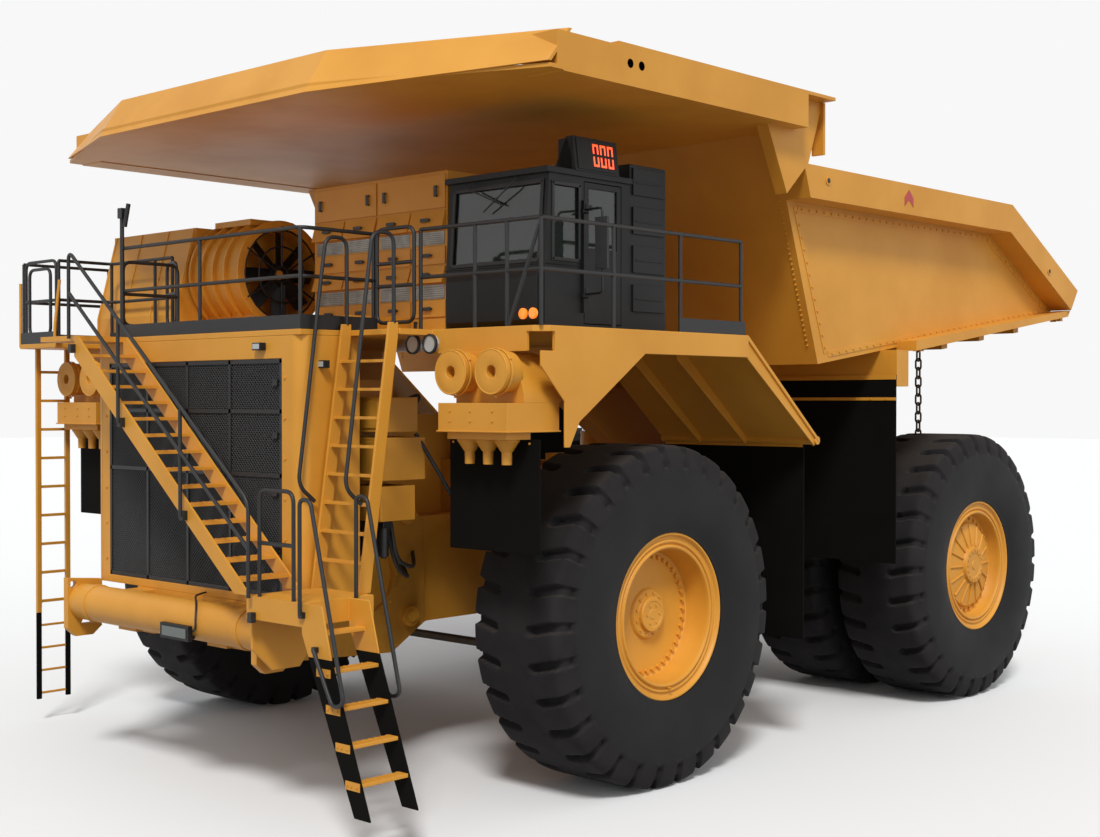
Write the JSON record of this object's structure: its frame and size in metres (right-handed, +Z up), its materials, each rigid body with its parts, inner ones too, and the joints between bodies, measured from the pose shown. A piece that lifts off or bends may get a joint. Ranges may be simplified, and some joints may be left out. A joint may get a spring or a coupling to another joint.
{
  "type": "mining dump truck",
  "caption": "Rigid two-axle mining dump truck with a tipping rock body, side cab on a railed deck, front stairs and twin rear wheels.",
  "frame": {"origin": "on the ground under the middle of the whole truck's box", "axes": "the front faces -Y, the cab stands on the +X side, +Z is up"},
  "size_m": [8.9, 14.14, 7.9],
  "materials": {
    "yellow_paint": "satin",
    "dark_paint": "satin",
    "tyre_rubber": "matte",
    "flap_rubber": "matte",
    "cab_glass": "gloss",
    "cast_steel": "matte",
    "bright_steel": "polished",
    "black_plastic": "matte",
    "lamp": "gloss"
  },
  "bodies": {
    "chassis": {"main_frame": "yellow_paint", "front_bumper": "yellow_paint", "landing": "yellow_paint", "rubber_sides": "flap_rubber", "hanging_steps": "yellow_paint", "engine_block": "yellow_paint", "radiator": "dark_paint", "radiator_guard": "yellow_paint", "grille": "dark_paint", "deck": "yellow_paint", "mud_flaps": "flap_rubber", "air_cleaners": "yellow_paint", "front_struts": "yellow_paint", "rear_axle": "yellow_paint", "rear_struts": "yellow_paint", "cab_shell": "dark_paint", "cab_glass": "cab_glass", "cab_interior": "black_plastic", "cab_tower": "dark_paint", "roof_display": "dark_paint", "control_cabinets": "yellow_paint", "grid_housing": "yellow_paint", "side_tanks": "yellow_paint", "stairs": "yellow_paint", "ladders": "yellow_paint", "deck_railings": "dark_paint", "stair_railings": "yellow_paint", "lamps": "lamp"},
    "steer_knuckle_left": {"knuckle_left": "cast_steel"},
    "front_wheel_left": {"front_tyre_left": "tyre_rubber", "front_rim_left": "yellow_paint"},
    "rear_wheel_left": {"rear_tyres_left": "tyre_rubber", "rear_rims_left": "yellow_paint"},
    "steer_cylinder_left": {"steer_barrel_left": "yellow_paint"},
    "steer_piston_left": {"steer_rod_left": "bright_steel"},
    "hoist_cylinder_left": {"hoist_barrel_left": "yellow_paint"},
    "hoist_mid_left": {"hoist_stage_left": "bright_steel"},
    "hoist_piston_left": {"hoist_rod_left": "bright_steel"},
    "steer_knuckle_right": {"knuckle_right": "cast_steel"},
    "front_wheel_right": {"front_tyre_right": "tyre_rubber", "front_rim_right": "yellow_paint"},
    "rear_wheel_right": {"rear_tyres_right": "tyre_rubber", "rear_rims_right": "yellow_paint"},
    "steer_cylinder_right": {"steer_barrel_right": "yellow_paint"},
    "steer_piston_right": {"steer_rod_right": "bright_steel"},
    "hoist_cylinder_right": {"hoist_barrel_right": "yellow_paint"},
    "hoist_mid_right": {"hoist_stage_right": "bright_steel"},
    "hoist_piston_right": {"hoist_rod_right": "bright_steel"},
    "tie_bar": {"tie_rod": "cast_steel"},
    "tipper": {"dump_body": "yellow_paint", "body_flaps": "flap_rubber"},
    "door": {"cab_door": "dark_paint", "door_glass": "cab_glass"},
    "fan": {"blower_fan": "dark_paint"}
  },
  "joints": [
    {"name": "steer_left", "type": "hinge", "parent": "chassis", "child": "steer_knuckle_left", "pos_m": [2.45, -2.78, 1.89], "axis": [0, 0, 1], "range_deg": [-32, 32]},
    {"name": "front_spin_left", "type": "hinge", "parent": "steer_knuckle_left", "child": "front_wheel_left", "pos_m": [3.425, -2.78, 1.89], "axis": [1, 0, 0], "continuous": true},
    {"name": "rear_spin_left", "type": "hinge", "parent": "chassis", "child": "rear_wheel_left", "pos_m": [2.6, 4.37, 1.89], "axis": [1, 0, 0], "continuous": true},
    {"name": "steer_swing_left", "type": "hinge", "parent": "chassis", "child": "steer_cylinder_left", "pos_m": [1.4, -1.88, 1.34], "axis": [0, 0, 1], "range_deg": [-6, 6]},
    {"name": "steer_stroke_left", "type": "slide", "parent": "steer_cylinder_left", "child": "steer_piston_left", "axis": [0.5848, -0.8112, 0], "range_m": [-0.18, 0.18]},
    {"name": "hoist_swing_left", "type": "hinge", "parent": "chassis", "child": "hoist_cylinder_left", "pos_m": [1.35, 2.02, 2.1], "axis": [-1, 0, 0], "range_deg": [0, 25]},
    {"name": "hoist_stage_left", "type": "slide", "parent": "hoist_cylinder_left", "child": "hoist_mid_left", "axis": [0, 0, 1], "range_m": [0, 1.42]},
    {"name": "hoist_stroke_left", "type": "slide", "parent": "hoist_mid_left", "child": "hoist_piston_left", "axis": [0, 0, 1], "range_m": [0, 1.42]},
    {"name": "steer_right", "type": "hinge", "parent": "chassis", "child": "steer_knuckle_right", "pos_m": [-2.45, -2.78, 1.89], "axis": [0, 0, 1], "range_deg": [-32, 32]},
    {"name": "front_spin_right", "type": "hinge", "parent": "steer_knuckle_right", "child": "front_wheel_right", "pos_m": [-3.425, -2.78, 1.89], "axis": [1, 0, 0], "continuous": true},
    {"name": "rear_spin_right", "type": "hinge", "parent": "chassis", "child": "rear_wheel_right", "pos_m": [-2.6, 4.37, 1.89], "axis": [1, 0, 0], "continuous": true},
    {"name": "steer_swing_right", "type": "hinge", "parent": "chassis", "child": "steer_cylinder_right", "pos_m": [-1.4, -1.88, 1.34], "axis": [0, 0, 1], "range_deg": [-6, 6]},
    {"name": "steer_stroke_right", "type": "slide", "parent": "steer_cylinder_right", "child": "steer_piston_right", "axis": [-0.5848, -0.8112, 0], "range_m": [-0.18, 0.18]},
    {"name": "hoist_swing_right", "type": "hinge", "parent": "chassis", "child": "hoist_cylinder_right", "pos_m": [-1.35, 2.02, 2.1], "axis": [-1, 0, 0], "range_deg": [0, 25]},
    {"name": "hoist_stage_right", "type": "slide", "parent": "hoist_cylinder_right", "child": "hoist_mid_right", "axis": [0, 0, 1], "range_m": [0, 1.42]},
    {"name": "hoist_stroke_right", "type": "slide", "parent": "hoist_mid_right", "child": "hoist_piston_right", "axis": [0, 0, 1], "range_m": [0, 1.42]},
    {"name": "tie_swing", "type": "hinge", "parent": "steer_knuckle_left", "child": "tie_bar", "pos_m": [2.45, -2.18, 1.15], "axis": [0, 0, 1], "range_deg": [-33, 33]},
    {"name": "body_tip", "type": "hinge", "parent": "chassis", "child": "tipper", "pos_m": [0, 5.57, 3.2], "axis": [-1, 0, 0], "range_deg": [0, 50]},
    {"name": "door_swing", "type": "hinge", "parent": "chassis", "child": "door", "pos_m": [3.625, -3.735, 5.8], "axis": [0, 0, -1], "range_deg": [0, 85]},
    {"name": "fan_spin", "type": "hinge", "parent": "chassis", "child": "fan", "pos_m": [-1.035, -4.28, 5.83], "axis": [1, 0, 0], "continuous": true}
  ],
  "couplings": [
    {"joint": "steer_swing_left", "follows": "steer_left", "ratio": 0.16},
    {"joint": "steer_stroke_left", "follows": "steer_left", "m_per_rad": 0.319},
    {"joint": "hoist_swing_left", "follows": "body_tip", "ratio": 0.475},
    {"joint": "hoist_stage_left", "follows": "body_tip", "m_per_rad": 1.6},
    {"joint": "hoist_stroke_left", "follows": "body_tip", "m_per_rad": 1.6},
    {"joint": "steer_right", "follows": "steer_left", "ratio": 1},
    {"joint": "steer_swing_right", "follows": "steer_left", "ratio": 0.16},
    {"joint": "steer_stroke_right", "follows": "steer_left", "m_per_rad": -0.319},
    {"joint": "hoist_swing_right", "follows": "body_tip", "ratio": 0.475},
    {"joint": "hoist_stage_right", "follows": "body_tip", "m_per_rad": 1.6},
    {"joint": "hoist_stroke_right", "follows": "body_tip", "m_per_rad": 1.6},
    {"joint": "tie_swing", "follows": "steer_left", "ratio": -1}
  ]
}
